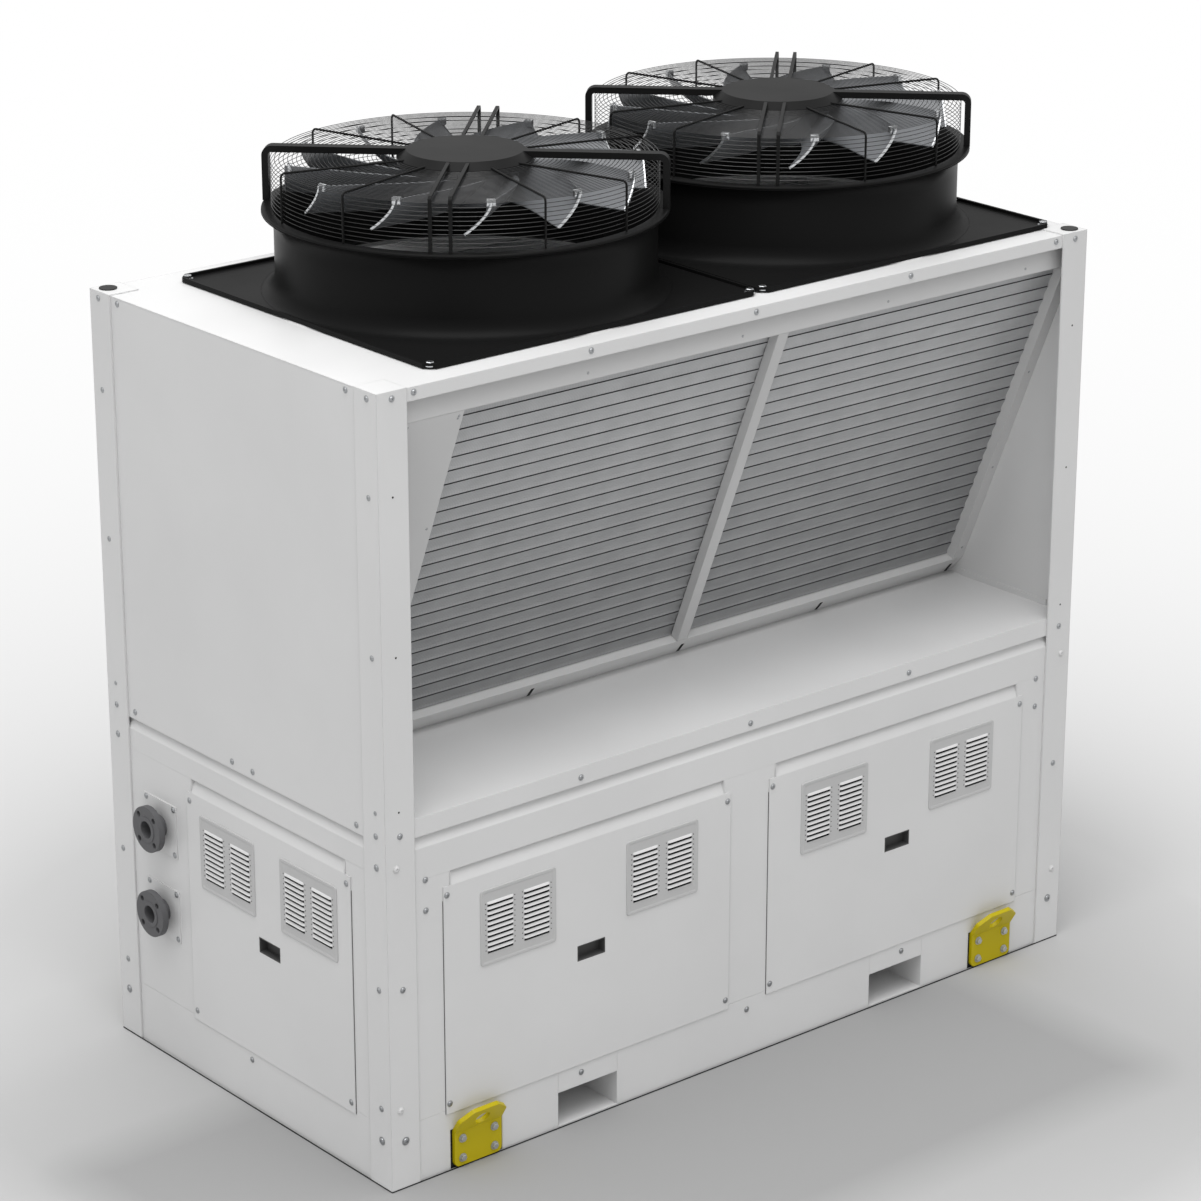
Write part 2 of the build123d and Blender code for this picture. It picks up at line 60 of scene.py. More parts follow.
def addNode(tree, kind, inputs=None, stops=(), **settings):
    # One shader node, its settings, a ramp's stops as (position, colour), and its inputs as
    # values or as sockets to link
    made = tree.nodes.new(kind)
    for name, value in settings.items():
        setattr(made, name, value)
    for index, (position, colour) in enumerate(stops):
        elements = made.color_ramp.elements
        stop = elements[index] if index < 2 else elements.new(position)
        stop.position = position
        stop.color = colour
    for name, value in (inputs or {}).items():
        socket = made.inputs[name]
        if isinstance(value, bpy.types.NodeSocket):
            tree.links.new(value, socket)
        else:
            socket.default_value = value
    return made


def newMaterial(name):
    # An empty node tree with one shader, and the piece's own coordinates in metres
    material = bpy.data.materials.new(name)
    material.use_nodes = True
    tree = material.node_tree
    tree.nodes.clear()
    output = addNode(tree, "ShaderNodeOutputMaterial")
    shader = addNode(tree, "ShaderNodeBsdfPrincipled")
    tree.links.new(shader.outputs["BSDF"], output.inputs["Surface"])
    place = addNode(tree, "ShaderNodeTexCoord").outputs["Object"]
    return material, tree, shader, place


def gridFaces(rows, columns, wrapRows=False, wrapColumns=False):
    # Quads between neighbours of a grid of points stored row by row
    i, j = np.meshgrid(np.arange(rows - (not wrapRows)), np.arange(columns - (not wrapColumns)),
                       indexing="ij")
    nextI = (i + 1) % rows
    nextJ = (j + 1) % columns
    quads = [i * columns + j, i * columns + nextJ, nextI * columns + nextJ, nextI * columns + j]
    return np.stack(quads, -1).reshape(-1, 4)


def turned(profile, centre, steps=24, axis=(0, 0, 1), closed=False):
    # A profile of (radius, height) turned about an axis through the centre:
    # point = centre + radius * (cos a * side + sin a * other) + height * axis
    along = np.array(axis, float)
    side = np.cross(along, (0, 0, 1) if abs(along[2]) < 0.9 else (0, 1, 0))
    side /= np.linalg.norm(side)
    other = np.cross(along, side)
    angle = np.linspace(0, 2 * np.pi, steps, endpoint=False)[:, None, None]
    profile = np.array(profile, float)
    radius = profile[None, :, 0, None]
    height = profile[None, :, 1, None]
    points = np.array(centre, float) + radius * (np.cos(angle) * side + np.sin(angle) * other)
    points = points + height * along
    return points.reshape(-1, 3), gridFaces(steps, len(profile), True, closed)


def tube(path, radius, sides=8, closed=False, flat=(0, 0, 1)):
    # A round section carried along a path: side = tangent x flat, up = side x tangent
    path = np.array(path, float)
    if closed:
        tangent = np.roll(path, -1, 0) - np.roll(path, 1, 0)
    else:
        tangent = np.gradient(path, axis=0)
    tangent /= np.linalg.norm(tangent, axis=1)[:, None]
    side = np.cross(tangent, np.array(flat, float))
    side /= np.linalg.norm(side, axis=1)[:, None]
    up = np.cross(side, tangent)
    angle = np.linspace(0, 2 * np.pi, sides, endpoint=False)[None, :, None]
    points = path[:, None] + radius * (np.cos(angle) * side[:, None] + np.sin(angle) * up[:, None])
    faces = gridFaces(len(path), sides, wrapRows=closed, wrapColumns=True)
    shape = [(points.reshape(-1, 3), faces)]
    if not closed:  # round ends: a fan of quads folded onto the end points
        for end, first in ((0, 0), (len(path) - 1, (len(path) - 1) * sides)):
            ring = points.reshape(-1, 3)[first:first + sides]
            cap = np.vstack([ring, np.repeat(path[end:end + 1], sides, 0)])
            shape.append((cap, gridFaces(2, sides, wrapColumns=True)))
    return joined(shape)


def thickened(points, faces, offset):
    # A sheet given a second side: points + offset, faces turned over, and strips along the
    # edges that belong to one face only
    faces = np.asarray(faces)
    count = len(points)
    edges = np.stack([faces, np.roll(faces, -1, axis=1)], -1).reshape(-1, 2)
    key = np.sort(edges, axis=1)
    key = key[:, 0] * count + key[:, 1]
    _, where, times = np.unique(key, return_index=True, return_counts=True)
    rim = edges[where[times == 1]]
    strips = np.stack([rim[:, 1], rim[:, 0], rim[:, 0] + count, rim[:, 1] + count], -1)
    return (np.vstack([points, points + offset]),
            np.vstack([faces, faces[:, ::-1] + count, strips]))


def sheetShape(grid, thick):
    # A curved sheet of even thickness: grid point +- thick / 2 along the cross product of the
    # two directions of the grid
    normal = np.cross(np.gradient(grid, axis=0), np.gradient(grid, axis=1))
    normal /= np.linalg.norm(normal, axis=-1)[..., None]
    rows, columns = grid.shape[:2]
    upper = (grid + normal * thick / 2).reshape(-1, 3)
    return thickened(upper, gridFaces(rows, columns), -normal.reshape(-1, 3) * thick)


def repeated(shape, offsets):
    # Copies of one shape: point + offset for each offset
    points, faces = shape
    offsets = np.array(offsets, float)
    shift = (np.arange(len(offsets)) * len(points))[:, None, None]
    return ((points[None] + offsets[:, None]).reshape(-1, 3),
            (np.asarray(faces)[None] + shift).reshape(-1, faces.shape[1]))


def roundedOutline(halfWidth, halfHeight, radius, steps=6):
    # Four corner arcs in turn: corner centre + radius * (cos a, sin a)
    corner = np.array([(1, 1), (-1, 1), (-1, -1), (1, -1)])[:, None]
    angle = np.linspace(0, np.pi / 2, steps)[None] + np.arange(4)[:, None] * np.pi / 2
    arc = np.stack([np.cos(angle), np.sin(angle)], -1)
    return (corner * (halfWidth - radius, halfHeight - radius) + radius * arc).reshape(-1, 2)


def plateShape(outline, layers, place, across, upward):
    # A flat plate with a rounded edge: the outline shrunk by the inset of each layer and set
    # at its height along across x upward; layers are (inset share, height)
    outline = np.array(outline, float)
    across = np.array(across, float)
    upward = np.array(upward, float)
    normal = np.cross(across, upward)
    middle = outline.mean(0)
    layers = np.array([(1.0, layers[0][1]), *layers, (1.0, layers[-1][1])], float)
    flat = middle + (outline - middle)[None] * (1 - layers[:, 0])[:, None, None]
    points = (np.array(place, float) + flat[..., :1] * across + flat[..., 1:] * upward
              + layers[:, 1][:, None, None] * normal)
    return points.reshape(-1, 3), gridFaces(len(layers), len(outline), wrapColumns=True)


def slabShape(front, back, x0, x1):
    # Matching lines of (y, z) points joined into a closed slab from x0 to x1
    rows = [(front, x0), (front, x1), (back, x1), (back, x0)]
    points = np.stack([np.column_stack([np.full(len(line), x), line]) for line, x in rows])
    count = len(front)
    ends = [[0, count, 2 * count, 3 * count], [k * count + count - 1 for k in (3, 2, 1, 0)]]
    return points.reshape(-1, 3), np.vstack([gridFaces(4, count, wrapRows=True), ends])


def sidePoints(points, side):
    # (along the face, out from the panel face, up) to the front, the back or the left end
    along, out, height = np.moveaxis(np.asarray(points, float), -1, 0)
    out = out + casing["panelStep"]
    if side == "end":
        return np.stack([-faceX - out, -along, height], -1)
    sign = -1 if side == "front" else 1
    return np.stack([along, sign * (faceY + out), height], -1)


def joined(shapes):
    # Several shapes as one: the faces count on from the points before them
    points, faces, shift = [], [], 0
    for shapePoints, shapeFaces in shapes:
        points.append(shapePoints)
        faces.append(np.asarray(shapeFaces) + shift)
        shift += len(shapePoints)
    return np.vstack(points), np.vstack(faces)


def makePiece(name, shape, material, body="casing", sharp=35, second=None):
    # A mesh piece at the origin: doubles merged, faces turned outwards, edges sharp by angle
    points, faces = shape
    mesh = bpy.data.meshes.new(name)
    mesh.from_pydata(points.tolist(), [], faces.tolist())
    mesh.materials.append(material)
    if second:  # another material on some of the faces
        mesh.materials.append(second[0])
        mesh.polygons.foreach_set("material_index", second[1].astype(np.int32))
    work = bmesh.new()
    work.from_mesh(mesh)
    bmesh.ops.remove_doubles(work, verts=work.verts, dist=1e-6)
    bmesh.ops.dissolve_degenerate(work, edges=work.edges, dist=1e-7)
    bmesh.ops.recalc_face_normals(work, faces=work.faces)
    work.to_mesh(mesh)
    work.free()
    mesh.shade_smooth()
    mesh.set_sharp_from_angle(angle=math.radians(sharp))
    piece = bpy.data.objects.new(name, mesh)
    bpy.context.scene.collection.objects.link(piece)
    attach(piece, body)
    return piece


def giveMaterial(prefixes, material):
    # One material on every CAD node whose name starts with a prefix
    for name, piece in nodes.items():
        if name.startswith(prefixes):
            piece.data.materials.clear()
            piece.data.materials.append(material)


# Peel and cloud are sizes in metres, the others are shares of the colour and of the gloss
coat = {"peel": 0.004, "cloud": 0.45, "dull": 0.955, "glossier": 0.04, "duller": 0.05}


def powderCoat(name, colour, roughness, lift=0.00006, edge=0.0035, sheen=0.5):
    # Polyester powder coat, sprayed dry and baked: a fine orange peel, drawn 4 mm across so
    # that it shows, softens reflections, and every folded edge has a small round highlight
    material, tree, shader, place = newMaterial(name)
    peel = addNode(tree, "ShaderNodeTexNoise", {"Vector": place, "Scale": 1 / coat["peel"],
                                                "Detail": 2.0})
    cloud = addNode(tree, "ShaderNodeTexNoise", {"Vector": place, "Scale": 1 / coat["cloud"],
                                                 "Detail": 4.0})
    base = linear(colour)
    dull = (*[coat["dull"] * c for c in base[:3]], 1.0)
    shade = addNode(tree, "ShaderNodeValToRGB", {"Fac": cloud.outputs["Fac"]},
                    stops=[(0.35, dull), (0.65, base)])
    tree.links.new(shade.outputs["Color"], shader.inputs["Base Color"])
    rounded = addNode(tree, "ShaderNodeBevel", {"Radius": edge}, samples=4)
    bump = addNode(tree, "ShaderNodeBump", {"Height": peel.outputs["Fac"], "Distance": lift,
                                            "Strength": 1.0, "Normal": rounded.outputs["Normal"]})
    tree.links.new(bump.outputs["Normal"], shader.inputs["Normal"])
    gloss = addNode(tree, "ShaderNodeMapRange", {"Value": cloud.outputs["Fac"], "From Min": 0.3,
                                                 "From Max": 0.7,
                                                 "To Min": roughness - coat["glossier"],
                                                 "To Max": roughness + coat["duller"]})
    tree.links.new(gloss.outputs["Result"], shader.inputs["Roughness"])
    shader.inputs["Specular IOR Level"].default_value = sheen
    return material


# Painted shade and light on the coil: darker colours at the foot, lighter at the head
fin = {"pitch": 0.005, "cloud": 0.08, "shadedFoot": ("#8b8c8d", "#a2a3a4"),
       "litHead": ("#abacad", "#c2c3c4"), "shadedFootHeight": 1.3, "litHeadHeight": 1.85}


def finStock():
    # Aluminium fin stock, punched and stacked 2 mm apart: dull grey with fine upright lines,
    # which are drawn 5 mm apart here so that they show. Bands repeat every 0.314 / scale
    material, tree, shader, place = newMaterial("aluminiumFinStock")
    fins = addNode(tree, "ShaderNodeTexWave", {"Vector": place, "Scale": 0.314 / fin["pitch"],
                                               "Distortion": 0.0}, wave_type="BANDS",
                   bands_direction="X")
    cloud = addNode(tree, "ShaderNodeTexNoise", {"Vector": place, "Scale": 1 / fin["cloud"],
                                                 "Detail": 5.0})
    mixed = addNode(tree, "ShaderNodeMix", {"Factor": 0.6, "A": fins.outputs["Fac"],
                                            "B": cloud.outputs["Fac"]})
    low, high = [addNode(tree, "ShaderNodeValToRGB", {"Fac": mixed.outputs["Result"]},
                         stops=[(0.2, linear(fin[part][0])), (0.8, linear(fin[part][1]))])
                 for part in ("shadedFoot", "litHead")]
    # Painted shade and light: darker towards the foot and brighter towards the head, for how light
    # falls on the coil
    height = addNode(tree, "ShaderNodeSeparateXYZ", {"Vector": place}).outputs["Z"]
    litHead = addNode(tree, "ShaderNodeMapRange", {"Value": height,
                                               "From Min": fin["shadedFootHeight"],
                                               "From Max": fin["litHeadHeight"]}).outputs["Result"]
    shade = addNode(tree, "ShaderNodeMix", {"Factor": litHead, 6: low.outputs["Color"],
                                            7: high.outputs["Color"]},
                    data_type="RGBA").outputs[2]
    tree.links.new(shade, shader.inputs["Base Color"])
    bump = addNode(tree, "ShaderNodeBump", {"Height": fins.outputs["Fac"], "Distance": 0.0004,
                                            "Strength": 0.3})
    tree.links.new(bump.outputs["Normal"], shader.inputs["Normal"])
    shader.inputs["Metallic"].default_value = 0.35
    shader.inputs["Roughness"].default_value = 0.62
    return material


def metalFinish(name, colour, roughness, grain=0.001, lift=0.00004, metallic=1.0):
    # Bare or plated metal, rolled or cast: its colour varies a little with the grain
    material, tree, shader, place = newMaterial(name)
    noise = addNode(tree, "ShaderNodeTexNoise", {"Vector": place, "Scale": 1 / grain,
                                                 "Detail": 3.0})
    base = linear(colour)
    dark = (*[0.8 * c for c in base[:3]], 1.0)
    shade = addNode(tree, "ShaderNodeValToRGB", {"Fac": noise.outputs["Fac"]},
                    stops=[(0.3, dark), (0.7, base)])
    tree.links.new(shade.outputs["Color"], shader.inputs["Base Color"])
    bump = addNode(tree, "ShaderNodeBump", {"Height": noise.outputs["Fac"], "Distance": lift,
                                            "Strength": 0.6})
    tree.links.new(bump.outputs["Normal"], shader.inputs["Normal"])
    shader.inputs["Metallic"].default_value = metallic
    shader.inputs["Roughness"].default_value = roughness
    return material


# Folded sheet steel: pale satin greys. The darker copies on the coil frame, cheeks and head and on
# the louvre frames are painted shade, and the lighter louvre blades a painted highlight
casingPaint = powderCoat("polyesterPowderCoatLightGrey", "#d6d6d6", 0.4)
frameShadePaint = powderCoat("powderCoatedFrameGreyPaintedShade", "#c6c6c6", 0.5)
shadePaint = powderCoat("powderCoatedGreyPaintedShade", "#cecece", 0.5)
louvreShadePaint = powderCoat("powderCoatedLouvreGreyPaintedShade", "#bdbdbd", 0.5, edge=0.0006)
bladeLitPaint = powderCoat("powderCoatedLouvrePaintedLight", "#dedede", 0.5, edge=0.0004)
# Nozzles and guards: near black, the nozzles with the weakest shine, the rings glossy
blackPaint = powderCoat("satinBlackPowderCoat", "#161616", 0.38, edge=0.0012, sheen=0.05)
wirePaint = powderCoat("blackCoatedSteelWire", "#181818", 0.38, edge=0.0005, sheen=0.08)
ringPaint = powderCoat("glossyBlackWire", "#242424", 0.3, edge=0.0004, sheen=0.5)
# Thick plates and castings under coats of their own
lugPaint = powderCoat("chromeYellowEnamel", "#bcab08", 0.42, edge=0.0015, sheen=0.2)
flangePaint = powderCoat("darkGreyCastSteelPrimer", "#58585a", 0.6, lift=0.00015)
bladePaint = powderCoat("greyCoatedCastAluminium", "#727477", 0.36)
# Moulded plastic: dull and dark; the near-black sheets behind the louvre slots and in holes,
# slots, gaps and under the base are painted shade
plugPlastic = powderCoat("blackMouldedPolyethylene", "#111111", 0.5)
# The pulls' dark nylon, also used as painted shade beside the access panels
pullNylonAndEdgeShade = powderCoat("darkMouldedNylonAndEdgeShade", "#484848", 0.55)
slotShadeBlack = powderCoat("paintedSlotShade", "#0d0d0d", 0.9, lift=0.0006)
gapShadePaint = powderCoat("nearBlackPaintedShade", "#0a0a0a", 0.8)
# Bare and plated metal
coilMetal = finStock()
# Painted shadow: near-black faces in the grooves between the rows of fins
coilShadow = metalFinish("paintedShadowFinGap", "#4a4a4b", 0.7, metallic=0.0)
zincPlate = metalFinish("zincPlatedSteel", "#b3b5b7", 0.42)
brightZinc = metalFinish("brightZincPlate", "#d4d6d8", 0.3)
tipMetal = metalFinish("brushedAluminiumTip", "#eceef0", 0.36)

for prefixes, material in (
        (("base_frame", "fork_pockets", "post_front", "post_back", "wall_", "panel_", "end_wall",
          "deck", "shelf", "pipe_covers"), casingPaint),
        (("coil_cheeks", "coil_head", "drain_tray"), shadePaint),
        (("coil_bar",), frameShadePaint),
        (("coil_rail",), casingPaint),
        (("coil_front", "coil_back"), coilMetal),
        (("vents",), louvreShadePaint),
        (("pull",), pullNylonAndEdgeShade),
        (("post_plugs",), plugPlastic),
        (("fan_plate", "fan_bell"), blackPaint),
        (("guard", "motor_support"), wirePaint),
        (("rotor",), bladePaint),
        (("water_flange",), flangePaint),
        (("lifting_lug",), lugPaint)):
    giveMaterial(prefixes, material)
print("materials given")


# Fasteners in metres; sunk is how far each foot reaches into its sheet
screw = {"radius": 0.0066, "height": 0.0036, "washer": 0.0086, "washerHeight": 0.0008,
         "neck": 0.0011, "sunk": 0.0004}
hexBolt = {"across": 0.0165, "height": 0.0072, "washer": 0.0125, "washerHeight": 0.0018,
           "chamfer": 0.001, "sunk": 0.0004}


def screwHead(place, normal, size=1.0):
    # Domed head on a thin washer, with a small dimple for the driver: a turned profile whose
    # dome is a share of the head's radius and height
    r = screw["radius"] * size
    h = screw["height"] * size
    w = screw["washer"] * size
    dome = [(0.92, 0.62), (0.66, 0.95), (0.36, 1.0), (0.3, 0.55), (0.0, 0.5)]
    profile = [(w, -screw["sunk"]), (w, screw["washerHeight"]), (r, screw["neck"]),
               *[(r * out, h * up) for out, up in dome]]
    return turned(profile, place, steps=14, axis=normal)


def hexHead(place, normal, size=1.0):
    # Six-sided head with a chamfered top on a round washer: two turned profiles, of 18 and
    # of 6 steps, the corner radius being the width across the flats / sqrt 3
    w = hexBolt["washer"] * size
    base = hexBolt["washerHeight"] * size
    top = base + hexBolt["height"] * size
    r = hexBolt["across"] * size / math.sqrt(3)
    sunk = -hexBolt["sunk"]
    washer = turned([(0, sunk), (w, sunk), (w, base), (0, base)], place, 18, normal)
    head = turned([(0, base), (r, base), (r, top - hexBolt["chamfer"]), (r * 0.86, top),
                   (0, top)], place, 6, normal)
    return joined([washer, head])


def mirroredFrontAndBack(spots, normal):
    # The same spots on the front and, turned over, on the back
    both = [(spot, normal) for spot in spots]
    both += [((x, -y, z), (normal[0], -normal[1], normal[2])) for x, y, z in spots]
    return both


# Places as (x, z) on the long sides, mirrored about the middle, and as (y, z) on the ends
panelScrew = {"panel": [(0.080, 0.189), (0.080, 0.766), (1.012, 0.189), (1.012, 0.766)],
              "wall": [(0.578, 0.136), (0.577, 0.966), (0.542, 2.083), (1.086, 2.083),
                       (1.076, 0.742), (1.076, 0.825)],
              "middle": [0.136, 0.966, 2.083],
              "endPanel": [(0.246, 0.188), (0.246, 0.794), (-0.443, 0.188), (-0.443, 0.794)],
              "endWall": [(0.494, 2.081), (-0.484, 2.081), (0.493, 0.966), (0.046, 0.966),
                          (-0.045, 0.966), (-0.488, 0.966), (0.0, 0.136)],
              "coverMiddles": [(0.389, 0.432), (0.389, 0.676)], "coverReach": (0.0635, 0.065)}


def panelScrews():
    # Heads round every panel and wall, and at the corners of the two pipe covers: cover
    # middle +- reach both ways
    s = panelScrew
    step = casing["panelStep"]
    front = []
    for side in (-1, 1):
        front += [(side * x, -faceY - step, z) for x, z in s["panel"]]
        front += [(side * x, -faceY, z) for x, z in s["wall"]]
    front += [(0, -faceY, z) for z in s["middle"]]
    spots = mirroredFrontAndBack(front, (0, -1, 0))
    for side in (-1, 1):
        spots += [((side * faceX, y, z), (side, 0, 0)) for y, z in s["endWall"]]
    covers = [(y + a * s["coverReach"][0], z + b * s["coverReach"][1])
              for y, z in s["coverMiddles"] for a in (-1, 1) for b in (-1, 1)]
    spots += [((-faceX - step, y, z), (-1, 0, 0)) for y, z in s["endPanel"] + covers]
    makePiece("panel_screws", joined([screwHead(p, n) for p, n in spots]), zincPlate)


# Heights with a size for each head; the end faces are those of the left end's posts
postBolt = {"x": 1.155, "y": 0.574,
            "long": [(0.132, 1.35), (0.551, 1.0), (0.965, 1.0), (2.081, 1.0)],
            "end": [(0.132, 1.35), (0.222, 1.0), (0.550, 1.0), (0.881, 1.1), (0.965, 1.0),
                    (1.026, 0.7), (1.430, 0.9), (1.836, 0.9), (2.081, 1.0)]}


def postBolts():
    # Heads in the long faces of all four posts, and in the left end's. The right end's posts
    # keep bare faces, since heads there would lengthen the unit
    b = postBolt
    spots = [((side * b["x"], face * halfDepth, z), (0, face, 0), size)
             for side in (-1, 1) for z, size in b["long"] for face in (-1, 1)]
    spots += [((-halfLength, face * b["y"], z), (-1, 0, 0), size)
              for face in (-1, 1) for z, size in b["end"]]
    makePiece("post_bolts", joined([screwHead(p, n, s) for p, n, s in spots]), zincPlate)


postHole = {"radius": 0.0028, "proud": 0.0002, "x": 1.157, "heights": (1.029, 1.432, 1.838),
            "capX": 1.168, "capHeights": (0.221, 0.881), "capSize": 1.25}


def postHoles():
    # Small punched holes, drawn as dark discs of painted shade that reach as far into the post as
    # they stand proud of it, and painted caps in the long faces of the posts
    h = postHole
    disc = [(0, -h["proud"]), (h["radius"], -h["proud"]), (h["radius"], h["proud"]),
            (0, h["proud"])]
    sides = [(side, face) for side in (-1, 1) for face in (-1, 1)]
    holes = [turned(disc, (side * h["x"], face * halfDepth, z), 12, (0, face, 0))
             for side, face in sides for z in h["heights"]]
    caps = [screwHead((side * h["capX"], face * halfDepth, z), (0, face, 0), h["capSize"])
            for side, face in sides for z in h["capHeights"]]
    makePiece("post_holes", joined(holes), gapShadePaint)
    makePiece("post_caps", joined(caps), casingPaint)


edgeShade = {"width": 0.0013, "thick": 0.0012, "foot": 0.161, "frontTop": 0.752, "endTop": 0.780,
          "front": (0.068, 1.023), "end": (-0.460, 0.262)}


def panelEdgeShades():
    # Painted shade: a dark strip beside the upright edges of every access panel, where a shadow
    # line falls; a flat rectangle, width by height, from the foot to the panel's top
    g = edgeShade
    shapes = []

    def strip(place, top, across):
        half = (top - g["foot"]) / 2
        w = g["width"] / 2
        outline = np.array([(-w, -half), (w, -half), (w, half), (-w, half)])
        shapes.append(plateShape(outline, [(0, 0), (0, g["thick"])],
                                 (*place, g["foot"] + half), across, (0, 0, 1)))

    for face in (-1, 1):
        for side in (-1, 1):
            for edge, out in zip(g["front"], (-1, 1)):
                x = side * (edge + out * g["width"] / 2)
                strip((x, face * faceY), g["frontTop"], (-face, 0, 0))
    for edge, out in zip(g["end"], (-1, 1)):
        strip((-faceX, edge + out * g["width"] / 2), g["endTop"], (0, -1, 0))
    makePiece("panel_edge_shade", joined(shapes), pullNylonAndEdgeShade)


panelScrews()
postBolts()
postHoles()
panelEdgeShades()
print("screws set")


# Wire guards: heights over the roof, and spoke turns in degrees. The diagonals are left to
# the straps of the motor supports
guard = {"hub": 0.181, "hubLap": 0.014, "radius": 0.498, "top": 0.348, "lip": 0.221,
         "ringWire": 0.0009, "spokeWire": 0.003, "topRings": 29, "sideRings": 10,
         "bend": 0.012, "steps": 120, "spokeTurns": (-165, -105, -75, -15, 15, 75, 105, 165)}


def circlePath(radius, height, centreX, steps):
    # Level circle: (centre + radius * cos a, radius * sin a, height)
    angle = np.linspace(0, 2 * np.pi, steps, endpoint=False)
    return np.stack([centreX + radius * np.cos(angle), radius * np.sin(angle),
                     np.full(steps, height)], -1)


def guardRings(side):
    # Level rings 11 mm apart over the top and down the side, just inside the spokes
    x = fans[side]
    g = guard
    topHeight = fanBase + g["top"] - g["spokeWire"] - g["ringWire"]
    inside = g["radius"] - g["spokeWire"] - g["ringWire"]
    radii = np.linspace(g["hub"], inside, g["topRings"])
    shapes = [tube(circlePath(r, topHeight, x, g["steps"]), g["ringWire"], 5, closed=True)
              for r in radii]
    low = fanBase + g["lip"]
    heights = np.linspace(low, topHeight, g["sideRings"] + 2)[1:-1]
    shapes += [tube(circlePath(inside, h, x, g["steps"]), g["ringWire"], 5, closed=True)
               for h in heights]
    rings = makePiece("guard_rings_" + side, joined(shapes), ringPaint)
    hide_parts("guard_top_" + side, "guard_side_" + side)


def guardSpokes(side):
    # Thicker wires out over the rings, bent down to the lip of the nozzle: a quarter circle
    # joins the level run and the upright one
    x = fans[side]
    g = guard
    level = fanBase + g["top"]
    bend = g["bend"]
    shapes = []
    angles = np.linspace(0, np.pi / 2, 6)
    corner = np.stack([g["radius"] - bend + bend * np.sin(angles),
                       level - bend + bend * np.cos(angles)], -1)
    flatPath = np.vstack([[(g["hub"] - g["hubLap"], level)], corner,
                          [(g["radius"], fanBase + g["lip"])]])
    for turn in g["spokeTurns"]:
        a = math.radians(turn)
        path = np.stack([x + flatPath[:, 0] * math.cos(a), flatPath[:, 0] * math.sin(a),
                         flatPath[:, 1]], -1)
        shapes.append(tube(path, g["spokeWire"], 8, flat=(-math.sin(a), math.cos(a), 0)))
    makePiece("guard_spokes_" + side, joined(shapes), wirePaint)


for side in fans:
    guardRings(side)
    guardSpokes(side)
print("guards made")


# Louvred vents, in the plane of the panel: bead and the painted end shade are (inset or radius,
# out)
vent = {"width": 0.245, "height": 0.209, "corner": 0.009, "cornerLeast": 0.002,
        "column": 0.059, "slotWidth": 0.084, "pitch": 0.0143, "rows": 10, "reach": 0.0038,
        "rise": 0.0064, "gap": 0.0076, "lap": 0.001, "lipLap": 0.0016, "rim": 0.008,
        "sheetOut": 0.0018, "sheetThick": 0.0014, "bladeThick": 0.0009,
        "bead": [(0, -0.0004), (0, 0.0016), (0.0012, 0.0028), (0.006, 0.0031),
                 (0.009, 0.0027), (0.0105, 0.0018), (0.0105, -0.0004)],
        "endShade": [(0, -0.0002), (0.0017, -0.0002), (0.0015, 0.0003), (0, 0.0003)],
        "endShadeReach": 0.0048, "slot_shade": (0.109, 0.091, 0.004), "slotShadeDepths": (-0.0075, -0.0055),
        "front": [-0.786, -0.306, 0.306, 0.786], "frontHeight": 0.642,
        "end": [-0.078, 0.280], "endHeight": 0.665}
ventMiddles = (np.arange(vent["rows"]) - (vent["rows"] - 1) / 2) * vent["pitch"]


def ventRim():
    # Pressed rim: a low bead carried round a rounded rectangle
    v = vent
    rings = [np.insert(roundedOutline(v["width"] / 2 - inset, v["height"] / 2 - inset,
                                      max(v["corner"] - inset, v["cornerLeast"])), 1, out, axis=1)
             for inset, out in v["bead"]]
    points = np.stack(rings)
    return points.reshape(-1, 3), gridFaces(len(rings), points.shape[1], True, True)


def ventPlate():
    # Sheet between the beads, with an opening behind and below each blade: a grid whose
    # cells are left out in every second column and row
    v = vent
    half = v["slotWidth"] / 2 - v["lap"]
    side = v["width"] / 2 - v["rim"]
    columns = np.array([-side, -v["column"] - half, -v["column"] + half, v["column"] - half,
                        v["column"] + half, side])
    opening = np.stack([ventMiddles - v["lap"] - v["gap"],
                        ventMiddles + v["rise"] - v["lipLap"]], -1).ravel()
    edge = v["height"] / 2 - v["rim"]
    rows = np.concatenate([[-edge], opening, [edge]])
    across, up = np.meshgrid(columns, rows, indexing="ij")
    points = np.stack([across, np.full_like(across, v["sheetOut"]), up], -1).reshape(-1, 3)
    faces = gridFaces(len(columns), len(rows)).reshape(len(columns) - 1, len(rows) - 1, 4)
    kept = np.ones(faces.shape[:2], bool)
    kept[1::2, 1::2] = False
    return thickened(points, faces[kept], (0, -v["sheetThick"], 0))


def ventBlades():
    # Blade: out = sheet + reach * w^0.8 * (1 - |u|^24), falling from its root to its lip
    v = vent
    u, w = np.meshgrid(np.sin(np.linspace(-np.pi / 2, np.pi / 2, 13)), np.linspace(0, 1, 5),
                       indexing="ij")
    out = v["sheetOut"] + v["reach"] * w ** 0.8 * (1 - np.abs(u) ** 24)
    points = np.stack([u * v["slotWidth"] / 2, out, v["rise"] - v["lap"] - v["rise"] * w], -1)
    blade = thickened(points.reshape(-1, 3), gridFaces(*u.shape), (0, -v["bladeThick"], 0))
    return repeated(blade, [(side * v["column"], 0, m) for side in (-1, 1) for m in ventMiddles])


def ventEndShades():
    # Painted shade: small dark discs beyond both ends of every blade, where the ends of the hoods
    # lie in shade; one turned disc, repeated
    v = vent
    reach = v["slotWidth"] / 2 + v["endShadeReach"]
    spots = [(side * v["column"] + end * reach, v["sheetOut"], m + v["lap"])
             for side in (-1, 1) for end in (-1, 1) for m in ventMiddles]
    return repeated(turned(v["endShade"], (0, 0, 0), 8, (0, 1, 0)), spots)


